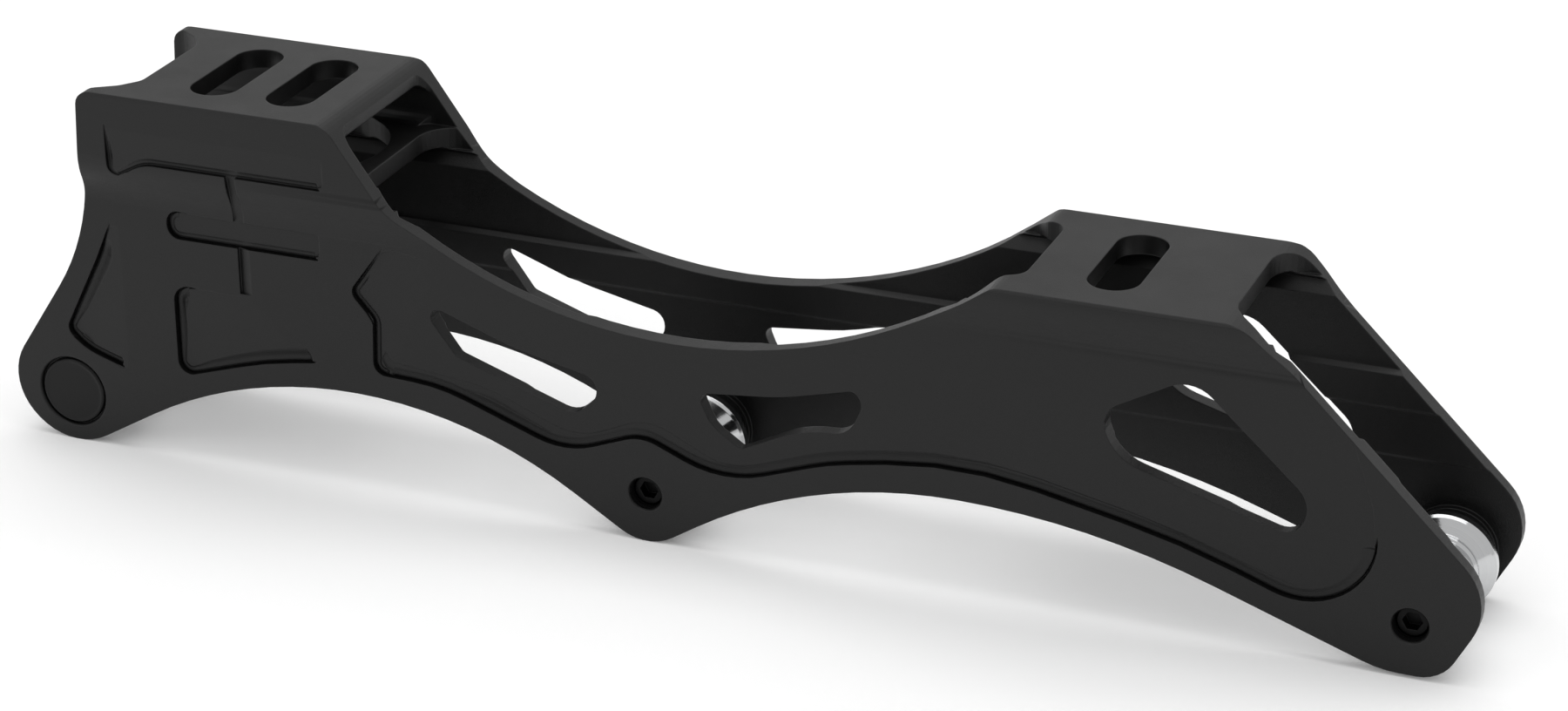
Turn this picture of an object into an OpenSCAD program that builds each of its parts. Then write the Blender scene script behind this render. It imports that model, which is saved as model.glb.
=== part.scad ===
// Three-wheel inline skate frame: a milled channel with a raised heel plate, a lower toe plate and
// three axle bosses, with the axle bolts and the flanged hub collars that sit between its walls.
// X runs forward to the toe, Y across the frame, Z up. The origin is at the middle of the wheelbase,
// on the frame's centre plane, level with the lowest points of the bosses.

/* [Axles] */
// distance from the rear axle to the front axle
wheelbase = 248; // [244:1:254]
// middle axle behind the middle of the wheelbase
mid_axle_back = 10.3; // [9:0.1:12]
// middle axle below the line of the other two
mid_axle_drop = 0.5; // [0:0.1:0.8]
// axle line above the lowest point of the bosses
axle_height = 9.5; // [9.4:0.1:9.8]
// axle bolt shank radius
shank_r = 4; // [3.9:0.05:4.1]
// radius of the threaded tip
tip_r = 2.93; // [2.7:0.01:3]
// length of the threaded tip
tip_l = 2; // [1.6:0.1:2.6]
// axle head radius
head_r = 6.4; // [6:0.1:6.5]
// axle head thickness
head_t = 1.8; // [1.5:0.1:2.2]
// flat to flat size of the key socket in the head
head_key = 4; // [3.5:0.1:5]
// flat to flat size of the key socket in the tip
tip_key = 3; // [2:0.1:3.4]
// radial clearance of the turning and sliding fits
fit = 0.05; // [0.02:0.01:0.09]

/* [Walls] */
// outside half width over the walls at the axles
wall_y = 16.4; // [16:0.1:16.8]
// outside half width over the plates
plate_y = 18.65; // [18.2:0.05:19]
// height above the axles where the outside flare starts
flare_low = 38.5; // [37:0.5:40]
// height above the axles where the outside flare ends
flare_high = 48.5; // [46.5:0.1:48.6]
// wall thickness beside the axles
wall_low_t = 2.6; // [2.2:0.1:2.9]
// wall thickness at the window band
wall_mid_t = 3; // [2.9:0.1:3.2]
// wall thickness at the rib above the windows
wall_rib_t = 3.5; // [3.3:0.1:4]
// wall thickness under the plates
wall_top_t = 2.5; // [2.2:0.1:2.8]
// thickness of the walls beside the plates
side_t = 3.05; // [2.8:0.05:3.3]
// break of the long top edges
edge = 0.5; // [0.2:0.1:0.8]
// top of the inside rib above the axles
ledge_high = 30.6; // [30.4:0.1:31.5]
// bottom of the inside rib above the axles
ledge_mid = 24.2; // [23.8:0.1:25]
// bottom of the window band above the axles
ledge_low = 15.4; // [14.8:0.1:16]
// height above the axles where the inside flare starts
inner_flare_low = 42; // [41.5:0.1:42.5]
// height above the axles where the inside flare ends
inner_flare_high = 44; // [43:0.1:44]

/* [Plates] */
// top of the heel plate above the axles
heel_z = 60; // [59:0.5:61]
// top of the toe plate and of the web under the heel
toe_z = 48.8; // [48.4:0.1:49]
// plate and web thickness
plate_t = 3.5; // [3:0.1:4]
// middle of the rear heel slot
slot_rear_x = -94.9; // [-96:0.1:-94]
// middle of the front heel slot
slot_mid_x = -79.9; // [-80.5:0.1:-79]
// middle of the toe slot
slot_front_x = 70.1; // [69:0.1:71]
// slot width
slot_w = 9; // [8:0.1:9.5]
// slot length across the frame
slot_l = 24.4; // [22:0.1:25]
// front edge of the heel plate
heel_front_x = -66.8; // [-68:0.1:-66]
// floor of the notch at the back of the heel plate
heel_notch_x = -108.6; // [-110:0.1:-107]
// length of the heel notch behind its floor
heel_notch_run = 6.2; // [5.8:0.1:6.6]
// length of the first slant of the heel notch
heel_notch_step = 2.6; // [2.3:0.1:2.9]
// half width of the heel notch floor
heel_notch_half = 9.8; // [9.4:0.1:10.2]
// floor of the round notch in the rear side of the web under the heel
web_rear_x = -67.2; // [-68:0.1:-66.9]
// front end of the web under the heel
web_front_x = -64.3; // [-66:0.1:-63]
// floor of the notch at the back of the toe plate
toe_notch_x = 55.8; // [54:0.1:57]
// length of the toe notch behind its floor
toe_notch_run = 6.4; // [6.2:0.1:6.8]
// length of the first slant of the toe notch
toe_notch_step = 3.8; // [3.6:0.1:4]
// half width of the toe notch floor
toe_notch_half = 11; // [10.8:0.1:11.2]
// front edge of the toe plate
toe_front_x = 91.5; // [90:0.1:92.5]

/* [Bosses] */
// radius of the raised ring inside each wall at the axles
boss_r = 7.6; // [7:0.1:8]
// half distance between the raised rings
boss_y = 12.6; // [12.4:0.1:12.8]
// radius of the head and badge recesses
recess_r = 6.65; // [6.6:0.05:6.8]
// depth of the head recess
head_recess = 1.2; // [1:0.1:1.4]
// depth of the badge recess
badge_recess = 1; // [0.8:0.1:1.2]
// badge thickness
badge_t = 0.9; // [0.6:0.1:0.95]
// gap around the badge in its recess
badge_gap = 0.3; // [0.2:0.05:0.4]
// bevel of the badge rim
badge_bevel = 0.4; // [0.3:0.05:0.5]
// dish of the badge face
badge_dish = 0.12; // [0:0.02:0.2]
// break at the mouths of the recesses and bores
mouth = 0.3; // [0.1:0.05:0.35]

/* [Hub pieces] */
// half length of the spacer
spacer_y = 5.15; // [5:0.05:5.3]
// spacer end radius
spacer_end_r = 6.4; // [6:0.1:6.6]
// spacer waist radius
spacer_waist_r = 6; // [5.6:0.1:6.2]
// spacer middle rim radius
spacer_rim_r = 7.1; // [6.8:0.1:7.4]
// collar flange radius
flange_r = 8.85; // [8.5:0.05:9]
// flange face from the centre plane
flange_y = 7.5; // [7.3:0.1:7.8]
// flange thickness
flange_t = 1.5; // [1.2:0.1:1.8]
// collar neck radius
neck_r = 6.2; // [5.8:0.1:6.6]

/* [Thread] */
// depth of the thread grooves in the near wall
thread_d = 0.25; // [0.1:0.05:0.35]
// thread pitch
thread_pitch = 0.75; // [0.5:0.05:1]

/* [Relief] */
// depth of the long side relief at its lowest edge
relief_d = 0.7; // [0.4:0.05:0.8]
// depth of the relief panels beside the heel
panel_d = 0.8; // [0.4:0.05:0.9]
// depth of the narrow grooves
groove_d = 0.6; // [0.3:0.05:0.7]
// rear side of the upright groove over the flare
upright_x = -88.1; // [-89:0.1:-87.5]
// width of the upright grooves
upright_w = 2; // [1.6:0.1:2.4]
// top of the upright groove over the flare
upright_top = 48.4; // [47.5:0.1:48.5]
// bottom of the level pocket under the heel
pocket_low = 34.4; // [34.2:0.1:35]
// top of the level pocket under the heel
pocket_high = 38.7; // [38.2:0.1:39]
// rear end of the level pocket
pocket_rear_x = -101.6; // [-102:0.1:-101]
// front end of the level pocket
pocket_front_x = -71.4; // [-72:0.1:-70.8]
// rear side of the lower upright groove
ramp_x = -87.7; // [-88.2:0.1:-87.2]
// width of the lower upright groove
ramp_w = 2.4; // [2:0.1:2.8]
// bottom of the lower upright groove
ramp_low = 25; // [24.6:0.1:25.6]

/* [Hidden] */
rear_x = -wheelbase / 2;
front_x = wheelbase / 2;
mid_x = -mid_axle_back;
axles = [[rear_x, 0], [mid_x, -mid_axle_drop], [front_x, 0]];
sag = 0.03;
far = 60;
low_y = wall_y - wall_low_t;
mid_y = wall_y - wall_mid_t;
rib_y = wall_y - wall_rib_t;
top_y = wall_y - wall_top_t;
side_y = plate_y - side_t;
toe_under = toe_z - plate_t;
heel_under = heel_z - plate_t;
bore_r = tip_r + fit;
shank_hole_r = shank_r + fit;
hub_bore_r = shank_r + fit;
collar_end_y = boss_y - fit;
tip_y = boss_y - fit;
head_y = wall_y - head_recess;
lobe_y = side_y + 0.3;
notch_r = 3;
toe_corner_r = 3.4;
web_corner_r = 6.5;
toe_front_r = 6.5;
heel_front_r = 2.6;
box_corner_r = 2.4;
ledge_slant = 0.6;
upper_run = 8.4;
panel_run = 12;
heel_run = 23;
rear_run = 15;
long_run = 30;
long_foot = 2;
badge_r = recess_r - badge_gap;
flare_y = (plate_y - wall_y) / 2;
flare_z = (flare_high - flare_low) / 2;
flare_turn = 2 * atan(flare_y / flare_z);
flare_r = flare_z / sin(flare_turn);

// outlines as corners [x, z, radius]; those near an end axle move with it
reach_drawn = 124;
bosses_from = 100;
bosses_full = 118;
function with_axles(v) = [for (p = v) [
    p.x + sign(p.x) * (wheelbase / 2 - reach_drawn)
        * min(1, max(0, (abs(p.x) - bosses_from) / (bosses_full - bosses_from))),
    p.y, p.z]];

// side outline, anticlockwise from the rear boss
side_corners = with_axles([
    [-138, 0.8, 10.6], [-126.2, -12.9, 11.9], [-65.15, 23, 80.9], [-10.1, -11.1, 9.1],
    [21, 8.8, 87], [69.7, 8.5, 138], [119.6, -8.85, 19.6], [129.6, -8.9, 6.7],
    [137.8, 6.5, 10.6], [102.9, 40.8, 15], [94.6, 48.8, 7.3], [52.5, 48.8, 3.6],
    [1.7, 9.7, 92.6], [-56.4, 44.1, 15.4], [-67.8, 60, 4.3], [-116.9, 60, 2.5],
    [-117.8, 41, 20], [-119.2, 29.6, 45]]);
window_a = [
    [-53.4, 29.9, 1.7], [-45.6, 19.5, 1.5], [-23.5, 12, 4.1],
    [-19.2, 16.1, 2.6], [-19, 19.8, 2.8], [-34.8, 23.2, 29.9]];
window_b = [
    [-0.4, 20.3, 1.5], [2, 14.6, 8], [7.5, 10.9, 0.6], [19, 16.7, 20.8],
    [27.1, 16.9, 4.8], [29.9, 23.3, 2.7], [28.1, 25.5, 1.5], [14.9, 22, 40]];
window_c = [
    [86.4, 37.7, 6.2], [70.9, 29.1, 4.2], [73.3, 21, 9], [104, 12.1, 3.6], [107.3, 18.3, 5.2]];
// relief lines on the walls, as corners [x, z, radius]
long_line = [
    [-60.4, 16.8, 0], [-59.6, 15, 1.2], [-41, 13.2, 30], [-24, 6.2, 12], [-10.6, 12.4, 9],
    [4, 5.2, 12], [24, 11.6, 30], [50, 15.4, 60], [78, 9.6, 60], [105.5, 1.2, 9]];
long_region = concat(long_line,
    [[118.2, 6.5, 9], [116.8, 20, 12], [112, 34, 0], [-56, 34, 0], [-56, 20, 0], [-60.6, 20, 0]]);
long_rear = [
    [-58.8, 38.2, 4], [-65.2, 28.8, 2.4], [-61.6, 23.5, 4], [-60.4, 14.8, 1.6],
    [-44, 12.6, 0], [-44, 36, 0]];
heel_panel = [[-98.3, 24.5, 1], [-101.6, 7.6, 1.8], [-71.5, 15.6, 1], [-76, 24.5, 0]];
rear_panel = [[-113.3, 34.2, 1], [-123.6, 13.3, 1.4], [-112.6, 5.9, 1], [-109, 12, 0], [-109, 34, 0]];
upper_panel = [
    [-111.4, 54, 1], [-111.3, 45.4, 1.8], [-107.6, 45.9, 2.2], [-104, 48.3, 5],
    [-68.8, 48.6, 0.6], [-68.8, 55, 0], [-108, 55, 0]];

// corner i of the outline v as an arc of its radius, in steps that stay within the sag
function corner(v, i) = let (
    n = len(v), p = [v[i].x, v[i].y], a = v[(i + n - 1) % n], b = v[(i + 1) % n],
    u = [a.x, a.y] - p, w = [b.x, b.y] - p, eu = u / norm(u), ew = w / norm(w),
    half = acos(eu * ew) / 2, r = v[i].z)
    r <= 0 ? [p] : let (
    mid = (eu + ew) / norm(eu + ew), c = p + mid * r / sin(half),
    side = sign(eu.x * ew.y - eu.y * ew.x), turn = 180 - 2 * half,
    base = atan2(-mid.y, -mid.x), k = max(2, ceil(turn / (2 * acos(1 - sag / max(r, 0.3))))))
    [for (j = [0:k]) c + r * [cos(base + side * turn * (0.5 - j / k)),
        sin(base + side * turn * (0.5 - j / k))]];
function rounded(v) = [for (i = [0:len(v) - 1]) each corner(v, i)];
function open_line(v) = [for (i = [0:len(v) - 1]) each (i == 0 || i == len(v) - 1
    ? [[v[i].x, v[i].y]] : corner(v, i))];
function mirrored(v) = concat(v, [for (i = [len(v) - 1:-1:0]) [-v[i].x, v[i].y]]);

// extrude an outline drawn in X and Z across the frame
module across(y0, y1) {
    translate([0, y1, 0])
    rotate([90, 0, 0])
    linear_extrude(y1 - y0)
    children();
}

// extrude a section drawn in Y and Z along the frame
module along(x0, x1) {
    translate([x0, 0, 0])
    rotate([90, 0, 90])
    linear_extrude(x1 - x0)
    children();
}

// the outside section of the channel, with a flare of two arcs, then the two hollows inside it
module outer_section() {
    for (s = [0, 1])
    mirror([s, 0])
    difference() {
        union() {
            polygon([
                [0, -far], [wall_y, -far], [wall_y, flare_low],
                [wall_y + flare_y, flare_low + flare_z], [plate_y, flare_high],
                [plate_y, heel_z - edge], [plate_y - edge, heel_z], [0, heel_z]]);
            intersection() {
                translate([plate_y - flare_r, flare_high])
                circle(flare_r, $fn = 96);
                translate([wall_y, flare_low + flare_z])
                square([plate_y - wall_y + 1, flare_z]);
            }
        }
        intersection() {
            translate([wall_y + flare_r, flare_low])
            circle(flare_r, $fn = 96);
            translate([wall_y - 1, flare_low])
            square([flare_y + 1, flare_z]);
        }
    }
}

module channel_section() {
    polygon(mirrored([
        [side_y - 1.5, toe_under], [side_y, toe_under - 1.3], [side_y - 0.1, inner_flare_high],
        [top_y, inner_flare_low], [top_y, ledge_high], [rib_y, ledge_high - ledge_slant],
        [rib_y, ledge_mid], [mid_y, ledge_mid - ledge_slant], [mid_y, ledge_low],
        [low_y, ledge_low - ledge_slant], [low_y, -far - 1]]));
}

module box_section() {
    polygon(rounded([
        [-side_y, toe_z, box_corner_r], [side_y, toe_z, box_corner_r],
        [side_y, heel_under, box_corner_r], [-side_y, heel_under, box_corner_r]]));
}

// a stadium shaped slot through a plate, its long way across the frame
module plate_slot(x, z) {
    translate([x, 0, z - plate_t - 1])
    linear_extrude(plate_t + 2)
    union() {
        square([slot_w, slot_l - slot_w], center = true);
        translate([0, slot_l / 2 - slot_w / 2])
        circle(d = slot_w, $fn = 48);
        translate([0, slot_w / 2 - slot_l / 2])
        circle(d = slot_w, $fn = 48);
    }
}

// everything in front of or behind a plate, between the walls
module plan_cut(v, z0, z1) {
    translate([0, 0, z0])
    linear_extrude(z1 - z0)
    polygon(rounded(v));
}

// a floor that rises from the given depth at [x, z] to the outer face after the given run
module slope(x, z, turn, depth, run, face_y) {
    translate([x, 0, z])
    rotate([0, -turn, 0])
    translate([0, 0, -far * 3])
    linear_extrude(far * 6)
    polygon([
        [-far, -face_y - 4], [-far, -face_y + depth * (1 + far / run)],
        [run, -face_y], [run, -face_y - 4]]);
}

module relief(v, x, z, turn, depth, run, face_y) {
    intersection() {
        across(-face_y - 1, -face_y + 1.2)
        polygon(rounded(v));
        slope(x, z, turn, depth, run, face_y);
    }
}

// the channel cut just inside the lower edge of the long relief
module long_channel() {
    line = open_line(long_line);
    across(-wall_y - 1, -wall_y + relief_d)
    polygon(concat(line, [for (i = [len(line) - 1:-1:0]) line[i] + [0.9, 1.5]]));
}

// a narrow groove that follows the outside of the flare
module flare_groove() {
    along(upright_x, upright_x + upright_w)
    polygon([
        [-plate_y - 1, upright_top], [-plate_y + groove_d, upright_top],
        [-plate_y + groove_d, flare_high], [-wall_y + groove_d, flare_low],
        [-wall_y + groove_d, pocket_high - 0.3], [-plate_y - 1, pocket_high - 0.3]]);
}

// a straight groove, deep at its rear side and running out at the other
module ramp_groove() {
    translate([ramp_x, -wall_y, ramp_low])
    linear_extrude(pocket_low - ramp_low + 0.2)
    polygon([[0, -1], [0, groove_d + 0.1], [ramp_w, 0], [ramp_w, -1]]);
}

module wall_reliefs() {
    relief(long_region, 0, long_foot, 90, relief_d, long_run, wall_y);
    relief(long_rear, long_rear[1].x, 0, 0, relief_d, rear_run, wall_y);
    relief(heel_panel, heel_panel[1].x, heel_panel[1].y, 45, panel_d, heel_run, wall_y);
    relief(rear_panel, rear_panel[1].x, 0, 0, panel_d, panel_run, wall_y);
    relief(upper_panel, 0, upper_panel[1].y, 90, groove_d, upper_run, plate_y);
    across(-wall_y - 1, -wall_y + groove_d)
    polygon(rounded([
        [pocket_rear_x, pocket_low, 2], [pocket_front_x, pocket_low, 0.6],
        [pocket_front_x, pocket_high, 0.6], [pocket_rear_x, pocket_high, 2]]));
    long_channel();
    flare_groove();
    ramp_groove();
}

// a round pad on the inside of one wall, for an axle at [x, z]
module pad(p, y0, y1) {
    translate([p.x, y1, p.y])
    rotate([90, 0, 0])
    cylinder(r = boss_r, h = y1 - y0);
}

// a drilled hole across the frame
module drill(p, r, y0, y1) {
    translate([p.x, y1, p.y])
    rotate([90, 0, 0])
    cylinder(r = r, h = y1 - y0, $fn = 64);
}

module channel() {
    intersection() {
        across(-plate_y - 1, plate_y + 1)
        polygon(rounded(side_corners));
        along(-150, 150)
        outer_section();
    }
}

module hollow() {
    difference() {
        along(-160, 160)
        channel_section();
        for (p = axles) {
            pad(p, boss_y, wall_y);
            pad(p, -wall_y, -boss_y);
        }
    }
    along(-160, 160)
    box_section();
}

// corners [x, y, radius] given for one side, completed by mirroring across the centre plane
function both_sides(v) = concat(
    [for (i = [0:len(v) - 1]) [v[i].x, -v[i].y, v[i].z]],
    [for (i = [len(v) - 1:-1:0]) v[i]]);

module plan_cuts() {
    plan_cut(both_sides([
        [-140, lobe_y, 0], [heel_notch_x - heel_notch_run, lobe_y, 2],
        [heel_notch_x - heel_notch_step, lobe_y - 2.5, notch_r],
        [heel_notch_x, heel_notch_half, notch_r]]),
        heel_under - 3, heel_z + 1);
    plan_cut(both_sides([[0, side_y, 0], [heel_front_x, side_y, heel_front_r]]), toe_z, heel_z + 1);
    plan_cut(both_sides([[0, side_y, 0], [web_front_x, side_y, web_corner_r]]),
        toe_under - 0.5, toe_z + 0.5);
    plan_cut(both_sides([[-140, side_y, 0], [web_rear_x, side_y, side_y - 0.3]]),
        toe_under - 0.5, toe_z + 0.5);
    plan_cut(both_sides([
        [20, side_y, 0], [toe_notch_x - toe_notch_run, side_y, notch_r],
        [toe_notch_x - toe_notch_step, side_y - notch_r, notch_r],
        [toe_notch_x, toe_notch_half, toe_corner_r]]),
        toe_under - 0.5, toe_z + 1);
    plan_cut(both_sides([[140, side_y, 0], [toe_front_x, side_y, toe_front_r]]),
        toe_under - 0.5, toe_z + 1);
}

// the break of the long outer edges of the toe plate
module toe_edges() {
    for (s = [-1, 1])
    along(40, 110)
    polygon([
        [s * (plate_y - edge - 1), toe_z + 1], [s * (plate_y + 1), toe_z + 1],
        [s * (plate_y + 1), toe_z - edge - 1]]);
}

module windows() {
    across(-wall_y - 1, wall_y + 1)
    polygon(rounded(window_a));
    across(-wall_y - 1, wall_y + 1)
    polygon(rounded(window_b));
    across(-wall_y - 1, wall_y + 1)
    polygon(rounded(window_c));
}

// ring grooves in the near wall that stand for the thread turns
module thread_rings(p) {
    translate([p.x, 0, p.y])
    rotate([90, 0, 0])
    for (y = [wall_y - 0.2 - thread_pitch:-thread_pitch:boss_y + 0.4])
    translate([0, 0, y])
    rotate_extrude($fn = 64)
    polygon([
        [bore_r - 0.4, -thread_pitch * 0.3], [bore_r, -thread_pitch * 0.3], [bore_r + thread_d, 0],
        [bore_r, thread_pitch * 0.3], [bore_r - 0.4, thread_pitch * 0.3]]);
}

// a broken edge at the mouth of a round opening, at height h facing out
module mouth_cone(p, side, r, h) {
    translate([p.x, 0, p.y])
    rotate([side * -90, 0, 0])
    rotate_extrude($fn = 64)
    polygon([
        [r - mouth, h - mouth * 2], [r, h - mouth], [r + mouth + 1, h + 1], [r - mouth, h + 1]]);
}

module bores() {
    for (p = axles) {
        thread_rings(p);
        drill(p, bore_r, -wall_y - 1, -boss_y + 1);
        drill(p, shank_hole_r, boss_y - 1, wall_y + 1);
        drill(p, recess_r, wall_y - head_recess, wall_y + 1);
        mouth_cone(p, 1, recess_r, wall_y);
    }
    drill(axles[0], recess_r, -wall_y - 1, -wall_y + badge_recess);
    mouth_cone(axles[0], -1, recess_r, wall_y);
    mouth_cone(axles[1], -1, bore_r, wall_y);
    mouth_cone(axles[2], -1, bore_r, wall_y);
}

module frame_body() {
    color([0.11, 0.11, 0.115])
    translate([0, 0, axle_height])
    difference() {
        channel();
        hollow();
        plan_cuts();
        windows();
        bores();
        plate_slot(slot_rear_x, heel_z);
        plate_slot(slot_mid_x, heel_z);
        plate_slot(slot_front_x, toe_z);
        toe_edges();
        wall_reliefs();
        mirror([0, 1, 0])
        wall_reliefs();
    }
}

// place a piece, drawn with its axis on Z and its outer end up, on an axle facing the far side
module on_axle(p) {
    translate([p.x, 0, axle_height + p.y])
    rotate([-90, 0, 0])
    children();
}

module turned(v) {
    rotate_extrude($fn = 96)
    polygon(v);
}

module badge_disc() {
    color([0.1, 0.1, 0.105])
    translate([rear_x, 0, axle_height])
    rotate([90, 0, 0])
    translate([0, 0, wall_y - badge_recess])
    turned([
        [0, 0], [badge_r, 0], [badge_r, badge_t - badge_bevel], [badge_r - badge_bevel, badge_t],
        [badge_r - 2 * badge_bevel, badge_t - badge_dish], [0, badge_t - badge_dish]]);
}

module axle_bolt(p) {
    color([0.35, 0.35, 0.36])
    on_axle(p)
    difference() {
        turned([
            [0, -tip_y - tip_l], [tip_r - 0.4, -tip_y - tip_l], [tip_r, -tip_y - tip_l + 0.4],
            [tip_r, -tip_y], [shank_r - 0.3, -tip_y], [shank_r, -tip_y + 0.3],
            [shank_r, head_y], [head_r, head_y], [head_r, head_y + head_t - 0.6],
            [head_r - 0.6, head_y + head_t], [0, head_y + head_t]]);
        translate([0, 0, head_y + head_t - 2.6])
        cylinder(d = head_key / cos(30), h = 4, $fn = 6);
        translate([0, 0, -tip_y - tip_l - 1])
        cylinder(d = tip_key / cos(30), h = 3, $fn = 6);
    }
}

module spacer(p) {
    color([0.8, 0.81, 0.82])
    on_axle(p)
    turned([
        [hub_bore_r, -spacer_y], [spacer_end_r - 0.2, -spacer_y], [spacer_end_r, -spacer_y + 0.2],
        [spacer_end_r, -spacer_y + 0.7], [spacer_waist_r, -spacer_y + 1.1], [spacer_waist_r, -1.6],
        [spacer_rim_r, -0.8], [spacer_rim_r, 0.8], [spacer_waist_r, 1.6],
        [spacer_waist_r, spacer_y - 1.1], [spacer_end_r, spacer_y - 0.7],
        [spacer_end_r, spacer_y - 0.2], [spacer_end_r - 0.2, spacer_y], [hub_bore_r, spacer_y]]);
}

module collar_shape() {
    turned([
        [hub_bore_r, spacer_y], [spacer_end_r, spacer_y], [spacer_end_r, spacer_y + 0.2],
        [flange_r - 0.4, flange_y - 0.5], [flange_r, flange_y], [flange_r, flange_y + flange_t],
        [flange_r - 0.5, flange_y + flange_t + 0.5], [neck_r, flange_y + flange_t + 0.5],
        [neck_r, collar_end_y - 0.3], [neck_r - 0.3, collar_end_y], [hub_bore_r, collar_end_y]]);
}

module collar_far(p) {
    color([0.8, 0.81, 0.82])
    on_axle(p)
    collar_shape();
}

module collar_near(p) {
    color([0.8, 0.81, 0.82])
    on_axle(p)
    mirror([0, 0, 1])
    collar_shape();
}

frame_body();
badge_disc();
axle_bolt(axles[0]);  // axle_rear
axle_bolt(axles[1]);  // axle_mid
axle_bolt(axles[2]);  // axle_front
spacer(axles[0]);  // spacer_rear
spacer(axles[1]);  // spacer_mid
spacer(axles[2]);  // spacer_front
collar_near(axles[0]);  // collar_rear_near
collar_far(axles[0]);  // collar_rear_far
collar_near(axles[1]);  // collar_mid_near
collar_far(axles[1]);  // collar_mid_far
collar_near(axles[2]);  // collar_front_near
collar_far(axles[2]);  // collar_front_far
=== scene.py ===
import math

import bmesh
import bpy
from mathutils import Matrix, Vector


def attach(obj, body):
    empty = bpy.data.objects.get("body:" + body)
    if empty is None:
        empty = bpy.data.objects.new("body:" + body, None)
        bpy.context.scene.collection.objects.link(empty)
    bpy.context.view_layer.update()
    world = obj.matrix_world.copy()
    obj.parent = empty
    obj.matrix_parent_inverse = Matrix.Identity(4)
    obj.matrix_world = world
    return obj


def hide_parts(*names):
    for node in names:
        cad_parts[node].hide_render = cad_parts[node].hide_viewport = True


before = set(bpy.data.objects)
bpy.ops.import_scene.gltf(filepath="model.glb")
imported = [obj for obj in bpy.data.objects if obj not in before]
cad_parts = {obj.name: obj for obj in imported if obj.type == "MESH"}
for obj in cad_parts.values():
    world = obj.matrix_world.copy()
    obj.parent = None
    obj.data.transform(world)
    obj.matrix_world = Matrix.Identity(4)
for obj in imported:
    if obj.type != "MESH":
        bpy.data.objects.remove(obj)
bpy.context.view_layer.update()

# Places in metres, in the part's own frame.
AXLE_Z = 0.0095
AXLES = {"rear": (-0.124, AXLE_Z), "mid": (-0.0103, AXLE_Z - 0.0005), "front": (0.124, AXLE_Z)}

# The floor's half width in metres, and its own light, which keeps the shadows on it pale.
FLOOR_SIZE = 6.0
FLOOR_GLOW = 0.1

# An even white studio and two soft lights: name, place, target, width and depth, watts.
STUDIO_LIGHT = 0.75
LIGHTS = (
    ("overhead", (0.0, 0.1, 1.1), (0.0, 0.0, 0.0), (1.2, 0.9), 5),
    ("front_left", (-0.6, -0.9, 0.6), (0.0, 0.0, 0.03), (0.6, 0.6), 1),
)

# Radii in metres within which an edge looks rubbed and gets a painted highlight, or is shaded as rounded.
RUB_AND_HIGHLIGHT_RADIUS = {"frame": 0.00035, "turned": 0.00025}
ROUND_RADIUS = {"frame": 0.00035, "turned": 0.0002, "badge": 0.0006}
# Rays for each of those.
EDGE_SAMPLES = 6
# How far a rounded edge's normal leans from the flat one, as 1 - cosine, where the paler edge, partly rubbed
# metal and partly painted highlight, begins and is full.
RUB_AND_HIGHLIGHT_LEAN = (0.01, 0.2)

# The range that most of a noise lies in, which is spread over the two colours that it mixes.
NOISE_RANGE = (0.3, 0.7)
# The noises, as scale per metre, detail and roughness.
GRAIN_NOISE, DYE_NOISE, PATCH_NOISE = (5200, 3, 0.6), (34, 3, 0.5), (160, 4, 0.6)
RING_DETAIL, BAND_DETAIL, SMUDGE_NOISE = (3, 0.7), (2, 0.5), (260, 3, 0.55)
PAPER_NOISE = (900, 3, 0.6)
# A lathe's broad bands are this many fine rings wide.
RINGS_IN_BAND = 9
# The depth in metres of the blasted grain.
GRAIN_DEPTH = 0.00004

# The grooves milled into the outside of both walls, as (x, z, corner radius) in millimetres with z
# above the axle height. Each runs with its steep side on the right and fades out to the left. With
# each line: the face that it is cut in, its steep width, depth, fading width and the lengths over
# which it comes out of the face at its two ends.
AXLE_HEIGHT = 9.5
WALL_FACE, PLATE_FACE = 16.4, 18.65
GROOVES = {
    "rear_edge": (WALL_FACE, 0.95, 1.4, 1.2, (8.0, 2.5), [
        (-58.7, 38.4, 0), (-65.7, 28.8, 1.8), (-61.4, 24, 2.5), (-61.8, 13.9, 2.2), (-57, 13.72, 0)]),
    "long_line": (WALL_FACE, 1.0, 1.5, 3.1, (2.0, 7.0), [
        (-60.2, 13.83, 0), (-49, 13.4, 34), (-25.3, 4.95, 15), (-10.9, 10.6, 8), (4.3, 4.3, 20),
        (23.5, 11.2, 46), (47, 15.5, 70), (85.2, 7.8, 130), (117.8, -4, 12.4), (117.8, 15.5, 0)]),
    "heel_line": (WALL_FACE, 1.0, 1.5, 2.6, (4.0, 1.5), [
        (-95.8, 24.5, 0), (-101.1, 24.5, 3), (-101.2, 6.85, 2.3), (-83.7, 12.4, 70), (-73.2, 14.1, 0)]),
    "rear_line": (WALL_FACE, 1.0, 1.5, 2.6, (7.0, 1.0), [
        (-113.1, 35.2, 0), (-116.5, 27.4, 40), (-124, 12.5, 1.9), (-121.4, 10.1, 0)]),
    "rear_foot": (WALL_FACE, 1.0, 1.5, 1.1, (1.0, 1.0), [
        (-123, 11.4, 0), (-120.3, 9.1, 12), (-112.6, 6.65, 0)]),
    "pocket_line": (WALL_FACE, 0.9, 1.3, 1.6, (3.0, 1.0), [
        (-97, 38.8, 0), (-101.5, 38.8, 2.3), (-101.5, 33.8, 2.3), (-71.6, 33.9, 0)]),
    "slim_line": (PLATE_FACE - 0.2, 0.7, 0.75, 1.2, (6.0, 0.8), [
        (-111.5, 54.6, 0), (-111.5, 45.1, 1.6), (-109.8, 45.15, 1.2), (-104.3, 48, 8), (-69.4, 48.1, 0)]),
}
# How far the steep slot reaches to the right of its line.
GROOVE_LINE_IN = 0.2
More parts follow.
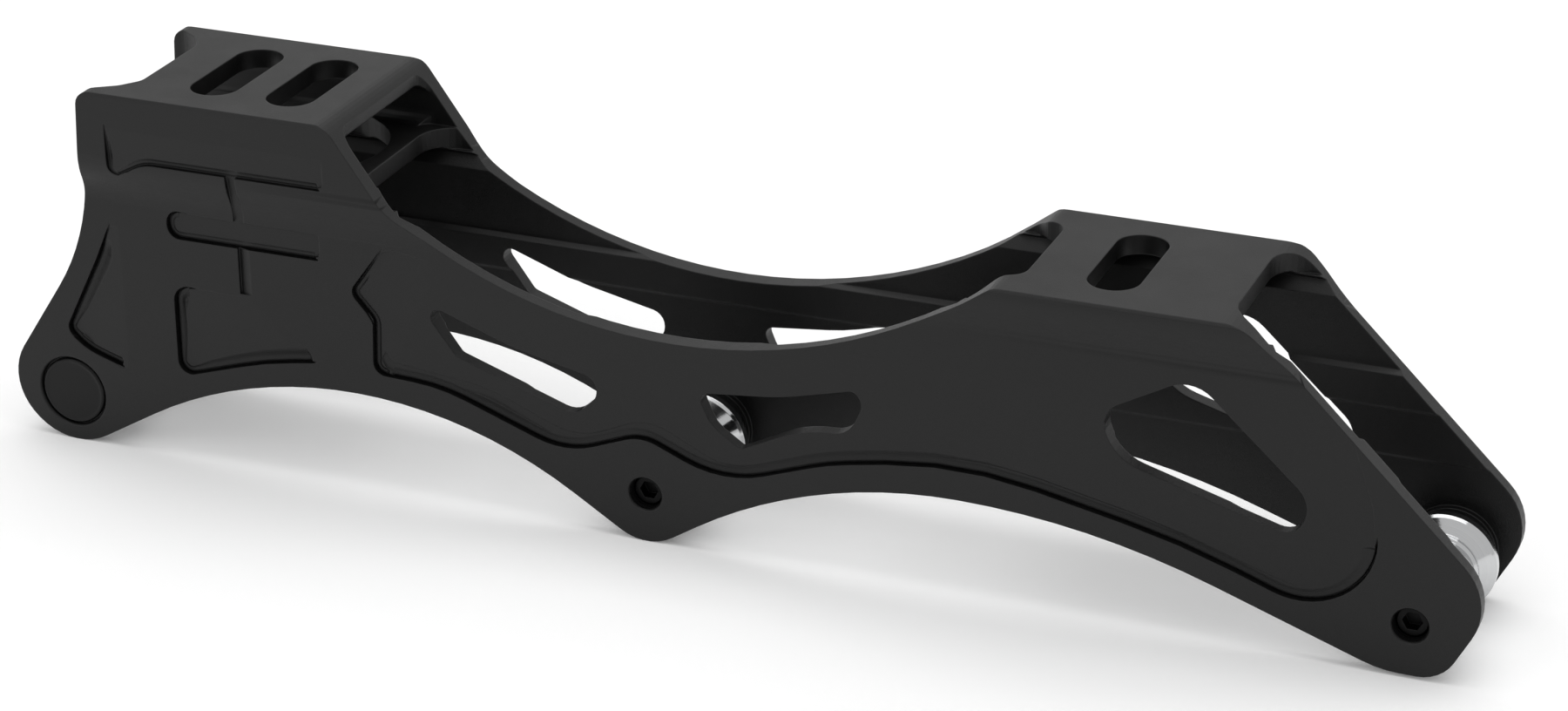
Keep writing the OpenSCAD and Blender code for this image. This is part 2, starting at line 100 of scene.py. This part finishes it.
# The slot's rounded bottom, as (distance from its right side, share of the depth), and its width.
SLOT_BOTTOM = ((0.02, 0.75), (0.08, 0.93), (0.17, 1.0), (0.28, 0.98), (0.38, 0.86))
SLOT_WIDTH = 0.45
# The floor beside the slot, as a share of the depth, and the steps of the side that fades out.
GROOVE_FLOOR = 0.58
GROOVE_STEPS = 8
# How far a cutter stands out of the face, in all and where its side fades out.
GROOVE_SKIN = 0.6
GROOVE_OUT = 0.04
# The least room between the fading side and the centre of a left bend.
GROOVE_CLEAR = 0.15
# The length over which the fading side narrows before a bend, and the most degrees in one step of it.
GROOVE_EASE = 4.0
GROOVE_BEND_STEP = 8.0
# Stations closer than this are one.
GROOVE_NEAR = 0.02

MM = 0.001
# Vertices of the frame closer than this, in metres, are one.
MERGE_DISTANCE = 1e-7

# The camera stands where the photograph was taken from.
CAMERA_PLACE = (0.24221, -0.57700, 0.31349)
CAMERA_AZIMUTH = 22.115
CAMERA_ELEVATION = 24.379
CAMERA_ROLL = -0.367
CAMERA_LENS = 91.246
CAMERA_SHIFT = (0.00469, 0.00024)
CAMERA_FILM = 36.0
CAMERA_NEAR = 0.01


class Value:
    """One number that varies over a surface, with the arithmetic that Math nodes give."""

    def __init__(self, paint, socket):
        self.paint = paint
        self.socket = socket

    def math(self, operation, *others):
        values = {0: self.socket}
        for place, other in enumerate(others, 1):
            values[place] = other.socket if isinstance(other, Value) else other
        return self.made("ShaderNodeMath", {"operation": operation}, values)

    def reflected(self, operation, other):
        return self.made("ShaderNodeMath", {"operation": operation}, {0: other, 1: self.socket})

    def made(self, kind, settings, values):
        return Value(self.paint, self.paint.node(kind, settings, values).outputs[0])

    def __add__(self, other):
        return self.math("ADD", other)

    __radd__ = __add__

    def __sub__(self, other):
        return self.math("SUBTRACT", other)

    def __rsub__(self, other):
        return self.reflected("SUBTRACT", other)

    def __mul__(self, other):
        return self.math("MULTIPLY", other)

    __rmul__ = __mul__

    def __truediv__(self, other):
        return self.math("DIVIDE", other)

    def __pow__(self, other):
        return self.math("POWER", other)

    def clipped(self, low, high, new_low=0.0, new_high=1.0):
        """Runs from new_low to new_high while the value runs from low to high, and stays there beyond."""
        values = {0: self.socket, 1: low, 2: high, 3: new_low, 4: new_high}
        return self.made("ShaderNodeMapRange", {"clamp": True}, values)


class Paint:
    """A material made of nodes, with its principled shader."""

    def __init__(self, name, metallic, roughness, **constants):
        self.material = bpy.data.materials.new(name)
        self.material.use_nodes = True
        self.tree = self.material.node_tree
        self.shader = self.tree.nodes["Principled BSDF"]
        self.shader.inputs["Metallic"].default_value = metallic
        self.shader.inputs["Roughness"].default_value = roughness
        for socket, value in constants.items():
            self.shader.inputs[socket.replace("_", " ")].default_value = value
        self.place = self.node("ShaderNodeTexCoord").outputs["Object"]

    def node(self, kind, settings=None, inputs=None):
        made = self.tree.nodes.new(kind)
        for name, value in (settings or {}).items():
            setattr(made, name, value)
        for name, value in (inputs or {}).items():
            socket = made.inputs[name]
            if isinstance(value, Value):
                value = value.socket
            if isinstance(value, bpy.types.NodeSocket):
                self.tree.links.new(value, socket)
            else:
                socket.default_value = value
        return made

    def noise(self, scale, detail, roughness, place=None):
        inputs = {"Vector": place or self.place, "Scale": scale, "Detail": detail, "Roughness": roughness}
        return Value(self, self.node("ShaderNodeTexNoise", {}, inputs).outputs["Fac"])

    def mix(self, mask, one, other):
        return self.node("ShaderNodeMix", {"data_type": "RGBA"}, {0: mask, 6: one, 7: other}).outputs[2]

    def rounded(self, radius):
        return self.node("ShaderNodeBevel", {"samples": EDGE_SAMPLES}, {"Radius": radius}).outputs[0]

    def worn_and_highlit_edges(self, radius):
        """Near 1 on convex and concave edges that are sharper than the radius, 0 on flat ground."""
        flat = self.node("ShaderNodeNewGeometry").outputs["Normal"]
        dot = self.node(
            "ShaderNodeVectorMath", {"operation": "DOT_PRODUCT"}, {0: self.rounded(radius), 1: flat})
        return (1.0 - Value(self, dot.outputs["Value"])).clipped(*RUB_AND_HIGHLIGHT_LEAN)

    def finish(self, colour, roughness, height=None, depth=0.0, softened=0.0):
        """Links the colour, the roughness and, with a height, its bump over softened edges."""
        self.tree.links.new(colour, self.shader.inputs["Base Color"])
        self.tree.links.new(roughness.socket, self.shader.inputs["Roughness"])
        if height is not None:
            bump = self.node("ShaderNodeBump", {}, {
                "Height": height, "Distance": depth, "Strength": 1.0, "Normal": self.rounded(softened)})
            self.tree.links.new(bump.outputs[0], self.shader.inputs["Normal"])
        return self.material


def grey(level, warm=0.0):
    """A colour with alpha: its brightness, and how far it leans to red."""
    return (level * (1 + warm), level, level * (1 - warm), 1.0)


WHITE = grey(1.0)
# The frame's dye, from thick to thin, and the paler grey on edges: partly rubbed metal, partly painted
# highlight.
THICK_DYE, THIN_DYE, RUBBED_AND_HIGHLIT_GREY = grey(0.002), grey(0.0045), grey(0.03)
ANODISED = {"metallic": 0.0, "roughness": 0.42, "Specular_IOR_Level": 0.31}
# The ground's paper, in its two whites.
PAPER_DARK, PAPER_PALE = grey(0.90), grey(0.94)
PAPER = {
    "metallic": 0.0, "roughness": 0.9, "Specular_IOR_Level": 0.1, "Emission_Color": WHITE,
    "Emission_Strength": FLOOR_GLOW}


def anodised_frame():
    """Blasted and dyed aluminium: a fine even grain, slow unevenness in the dye, and paler edges that are
    partly rubbed and partly painted highlight.
    """
    paint = Paint("black_anodised_finish", **ANODISED)
    grain = paint.noise(*GRAIN_NOISE)
    dye = paint.noise(*DYE_NOISE)
    patches = paint.noise(*PATCH_NOISE)
    # Convex and concave edges are painted paler: partly rubbed metal, partly painted highlight.
    edges = paint.worn_and_highlit_edges(RUB_AND_HIGHLIGHT_RADIUS["frame"]) * patches.clipped(0.3, 0.65, 0.35, 1.0)
    tone = dye * 0.55 + patches * 0.3 + grain * 0.15
    ground = paint.mix(tone.clipped(*NOISE_RANGE), THICK_DYE, THIN_DYE)
    colour = paint.mix(edges * 0.45, ground, RUBBED_AND_HIGHLIT_GREY)
    unevenness = (grain - 0.5) * 0.12 + (dye - 0.5) * 0.18 + (patches - 0.5) * 0.12
    roughness = unevenness + ANODISED["roughness"] - edges * 0.06
    height = grain + patches * 0.15
    return paint.finish(colour, roughness, height, GRAIN_DEPTH, ROUND_RADIUS["frame"])


def lighter(colour):
    return tuple(min(1.0, c * 1.25 + 0.02) for c in colour[:3]) + (1.0,)


def darker(colour, share):
    return tuple(c * (1 - share) for c in colour[:3]) + (1.0,)


def turned(name, centre, base, metallic, roughness, ring_scale, depth, wear, rounding="turned", **constants):
    """A lathe finish: fine rings round the axis at centre, on the faces and round the barrels alike."""
    paint = Paint(name, metallic, roughness, **constants)
    moved = paint.node("ShaderNodeMapping", {}, {
        "Vector": paint.place, "Location": (-centre[0], 0.0, -centre[1])}).outputs[0]
    split = paint.node("ShaderNodeSeparateXYZ", {}, {0: moved})
    across, along = Value(paint, split.outputs[0]), Value(paint, split.outputs[2])
    depth_y = Value(paint, split.outputs[1])
    radius = (across * across + along * along) ** 0.5
    ring_place = paint.node("ShaderNodeCombineXYZ", {}, {0: radius, 1: depth_y}).outputs[0]
    rings = paint.noise(ring_scale, *RING_DETAIL, ring_place)
    bands = paint.noise(ring_scale / RINGS_IN_BAND, *BAND_DETAIL, ring_place)
    smudge = paint.noise(*SMUDGE_NOISE)
    edges = paint.worn_and_highlit_edges(RUB_AND_HIGHLIGHT_RADIUS["turned"])
    tone = rings * 0.5 + bands * 0.35 + smudge * 0.15
    colour = paint.mix(tone.clipped(*NOISE_RANGE), darker(base, wear), base)
    # Convex and concave edges are painted lighter: partly rubbed metal, partly painted highlight.
    colour = paint.mix(edges * 0.4, colour, lighter(base))
    finish = (rings - 0.5) * 0.16 + (smudge - 0.5) * 0.14 + roughness + edges * 0.05
    return paint.finish(colour, finish, rings + bands * 0.6, depth, ROUND_RADIUS[rounding])


def dress(node, material):
    """Gives a node of the frame its only material."""
    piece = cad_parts[node]
    piece.data.materials.clear()
    piece.data.materials.append(material)


# The lathe finishes. A ring scale is per metre, a depth in metres, and wear is how much darker the
# dark rings are.
BADGE = {
    "base": grey(0.005), "metallic": 0.0, "roughness": 0.16, "ring_scale": 5200, "depth": 0.000006,
    "wear": 0.25, "rounding": "badge", "Specular_IOR_Level": 0.2}
AXLE_STEEL = {
    "base": grey(0.010), "metallic": 0.9, "roughness": 0.42, "ring_scale": 4200, "depth": 0.000012,
    "wear": 0.3}
SPACER = {
    "base": grey(0.60, -0.01), "metallic": 1.0, "roughness": 0.13, "ring_scale": 3600,
    "depth": 0.000008, "wear": 0.16}
COLLAR = {
    "base": grey(0.60, -0.01), "metallic": 1.0, "roughness": 0.10, "ring_scale": 3600,
    "depth": 0.000006, "wear": 0.14}

black_finish = anodised_frame()
dress("frame_body", black_finish)
dress("badge_disc", turned("badge_finish", AXLES["rear"], **BADGE))
for place, centre in AXLES.items():
    dress("axle_" + place, turned("axle_steel_" + place, centre, **AXLE_STEEL))
    dress("spacer_" + place, turned("spacer_finish_" + place, centre, **SPACER))
    for side in ("near", "far"):
        dress(f"collar_{place}_{side}", turned(f"collar_finish_{place}_{side}", centre, **COLLAR))


def groove_section(width, depth, fade):
    """A narrow deep slot, a floor beside it and a side that fades out, as (left of the line, depth)."""
    floor = depth * GROOVE_FLOOR
    ring = [(-GROOVE_LINE_IN, -GROOVE_SKIN), (-GROOVE_LINE_IN, 0.0)]
    ring += [(along - GROOVE_LINE_IN, depth * deep) for along, deep in SLOT_BOTTOM]
    ring.append((SLOT_WIDTH - GROOVE_LINE_IN, floor))
    for step in range(GROOVE_STEPS + 1):
        part = step / GROOVE_STEPS
        ring.append((
            width - GROOVE_LINE_IN + fade * part,
            (floor + GROOVE_OUT) * (0.5 + 0.5 * math.cos(math.pi * part)) - GROOVE_OUT))
    return ring + [(ring[-1][0], -GROOVE_SKIN)]


def groove_stations(width, depth, fade, rise, corners):
    """Places along a groove, as (place, heading, lift out of the face, fading width there)."""
    places = [Vector((x, z)) for x, z, _ in corners]
    legs = [b - a for a, b in zip(places, places[1:])]
    headings = [math.atan2(leg.y, leg.x) for leg in legs]
    turns = [0.0] + [math.remainder(b - a, 2 * math.pi) for a, b in zip(headings, headings[1:])] + [0.0]
    backs = [corner[2] * math.tan(abs(turn) / 2) for corner, turn in zip(corners, turns)]
    fades = [
        min(fade, corner[2] - width + GROOVE_LINE_IN - GROOVE_CLEAR) if turn > 0 else fade
        for corner, turn in zip(corners, turns)]
    stations = []
    for i, leg in enumerate(legs):
        first, last = i == 0, i == len(legs) - 1
        start, end = backs[i], leg.length - backs[i + 1]
        long_enough = end - start > 2 * GROOVE_EASE
        stops = {start, end}
        if long_enough:
            stops |= {start + GROOVE_EASE, end - GROOVE_EASE}
        if first:
            stops.add(min(rise[0], end))
        if last:
            stops.add(max(end - rise[1], start))
        for along in sorted(stops):
            part = (along - start) / (end - start)
            here = fades[i] + (fades[i + 1] - fades[i]) * part
            if long_enough:
                grown = min((along - start) / GROOVE_EASE, (end - along) / GROOVE_EASE, 1.0)
                here = fade * grown + (1 - grown) * (fades[i] if part < 0.5 else fades[i + 1])
            lift = max(
                1 - along / rise[0] if first else 0.0,
                1 - (end - along) / rise[1] if last else 0.0, 0.0)
            place = places[i] + leg.normalized() * along
            stations.append((place, headings[i], lift * (depth + GROOVE_OUT), here))
        if not last:
            radius, turn = corners[i + 1][2], turns[i + 1]
            side = math.copysign(radius, turn)
            centre = stations[-1][0] + Vector((-math.sin(headings[i]), math.cos(headings[i]))) * side
            count = max(2, math.ceil(math.degrees(abs(turn)) / GROOVE_BEND_STEP))
            for step in range(1, count):
                heading = headings[i] + turn * step / count
                place = centre - Vector((-math.sin(heading), math.cos(heading))) * side
                stations.append((place, heading, 0.0, fades[i + 1]))
    kept = stations[:1]
    for station in stations[1:]:
        if (station[0] - kept[-1][0]).length > GROOVE_NEAR:
            kept.append(station)
    return kept


def groove_cutter(face_y, width, depth, fade, rise, corners):
    """One groove as a closed mesh: its section, grown from station to station."""
    bm = bmesh.new()
    face = None
    for place, heading, lift, here in groove_stations(width, depth, fade, rise, corners):
        across, up = math.cos(heading), math.sin(heading)
        ring = [
            Vector((place.x - up * left, deep - face_y - lift, place.y + across * left + AXLE_HEIGHT)) * MM
            for left, deep in groove_section(width, depth, here)]
        if face is None:
            face = bm.faces.new([bm.verts.new(corner) for corner in ring])
            continue
        start, capped = face, len(bm.faces) > 1
        grown = bmesh.ops.extrude_face_region(bm, geom=[start])["geom"]
        face = next(item for item in grown if isinstance(item, bmesh.types.BMFace))
        for vert, corner in zip(face.verts, ring):
            vert.co = corner
        if capped and start.is_valid:
            bmesh.ops.delete(bm, geom=[start], context="FACES_ONLY")
    bmesh.ops.triangulate(bm, faces=bm.faces)
    bmesh.ops.recalc_face_normals(bm, faces=bm.faces)
    return bm


def placed(name, bm):
    """A new object in the scene with the shape that was built, which is then let go."""
    mesh = bpy.data.meshes.new(name)
    bm.to_mesh(mesh)
    bm.free()
    made = bpy.data.objects.new(name, mesh)
    bpy.context.scene.collection.objects.link(made)
    return made


def grooved_frame(finish):
    """The frame with its grooves cut in: a merged copy of the node less the cutters on both walls."""
    bm = bmesh.new()
    bm.from_mesh(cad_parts["frame_body"].data)
    bmesh.ops.remove_doubles(bm, verts=bm.verts, dist=MERGE_DISTANCE)
    shell = placed("frame_shell", bm)
    helpers = []
    for name, facts in GROOVES.items():
        for side in ("near", "far"):
            cutter = groove_cutter(*facts)
            if side == "far":
                bmesh.ops.scale(cutter, verts=cutter.verts, vec=(1.0, -1.0, 1.0))
                bmesh.ops.recalc_face_normals(cutter, faces=cutter.faces)
            helper = placed(f"cutter_{name}_{side}", cutter)
            helpers.append(helper)
            cut = shell.modifiers.new(helper.name, "BOOLEAN")
            cut.operation = "DIFFERENCE"
            cut.solver = "MANIFOLD"
            cut.object = helper
    made = bpy.data.meshes.new_from_object(shell.evaluated_get(bpy.context.evaluated_depsgraph_get()))
    shell.modifiers.clear()
    shell.data = made
    for helper in helpers:
        bpy.data.objects.remove(helper)
    made.materials.clear()
    made.materials.append(finish)
    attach(shell, "frame")
    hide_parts("frame_body")


def build_floor():
    """A pale paper ground, which is no part of the object."""
    bm = bmesh.new()
    bmesh.ops.create_grid(bm, x_segments=1, y_segments=1, size=FLOOR_SIZE)
    floor = placed("floor", bm)
    paint = Paint("floor_paper", **PAPER)
    fibre = paint.noise(*PAPER_NOISE)
    colour = paint.mix(fibre.clipped(*NOISE_RANGE), PAPER_DARK, PAPER_PALE)
    floor.data.materials.append(paint.finish(colour, fibre * 0.1 + 0.85))


def area_light(name, place, target, size, power):
    """A soft light that faces its target."""
    data = bpy.data.lights.new(name, "AREA")
    data.shape = "RECTANGLE"
    data.size, data.size_y = size
    data.energy = power
    light = bpy.data.objects.new(name, data)
    light.location = place
    light.rotation_euler = (Vector(target) - Vector(place)).to_track_quat("-Z", "Y").to_euler()
    bpy.context.scene.collection.objects.link(light)


def build_lights():
    world = bpy.data.worlds.new("studio")
    world.use_nodes = True
    sky = world.node_tree.nodes["Background"]
    sky.inputs["Color"].default_value = WHITE
    sky.inputs["Strength"].default_value = STUDIO_LIGHT
    bpy.context.scene.world = world
    for facts in LIGHTS:
        area_light(*facts)


def build_camera():
    """The camera, at the photograph's place and angle."""
    data = bpy.data.cameras.new("camera")
    data.lens = CAMERA_LENS
    data.sensor_width = CAMERA_FILM
    data.shift_x, data.shift_y = CAMERA_SHIFT
    data.clip_start = CAMERA_NEAR
    camera = bpy.data.objects.new("camera", data)
    azimuth, elevation = math.radians(CAMERA_AZIMUTH), math.radians(CAMERA_ELEVATION)
    forward = Vector((
        -math.sin(azimuth) * math.cos(elevation),
        math.cos(azimuth) * math.cos(elevation),
        -math.sin(elevation)))
    turn = forward.to_track_quat("-Z", "Y").to_matrix()
    turn = turn @ Matrix.Rotation(math.radians(CAMERA_ROLL), 3, "Z")
    camera.matrix_world = Matrix.Translation(CAMERA_PLACE) @ turn.to_4x4()
    bpy.context.scene.collection.objects.link(camera)
    bpy.context.scene.camera = camera


grooved_frame(black_finish)
build_floor()
build_lights()
build_camera()
bpy.context.scene.view_settings.view_transform = "Standard"
